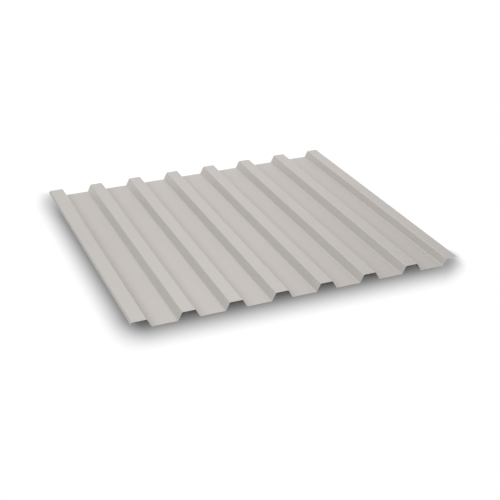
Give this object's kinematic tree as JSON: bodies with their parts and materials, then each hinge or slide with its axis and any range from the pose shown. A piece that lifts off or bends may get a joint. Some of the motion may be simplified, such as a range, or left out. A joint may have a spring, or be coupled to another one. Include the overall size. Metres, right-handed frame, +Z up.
{
  "type": "corrugated metal sheet",
  "caption": "Box-rib corrugated sheet of painted steel, roll-formed in one piece, with flat pans, raised crests and side-lap edges, for roofs, walls and fences.",
  "frame": {"origin": "below the middle of the sheet, in the plane that the undersides of the pans rest on", "axes": "+X across the crests towards the underlap edge, +Y along the crests, +Z up from the pans to the crests"},
  "size_m": [1.054, 1, 0.0255],
  "materials": {
    "painted_steel": "satin light grey coil coating"
  },
  "bodies": {
    "root": {"corrugated_sheet": "painted_steel"}
  },
  "joints": []
}
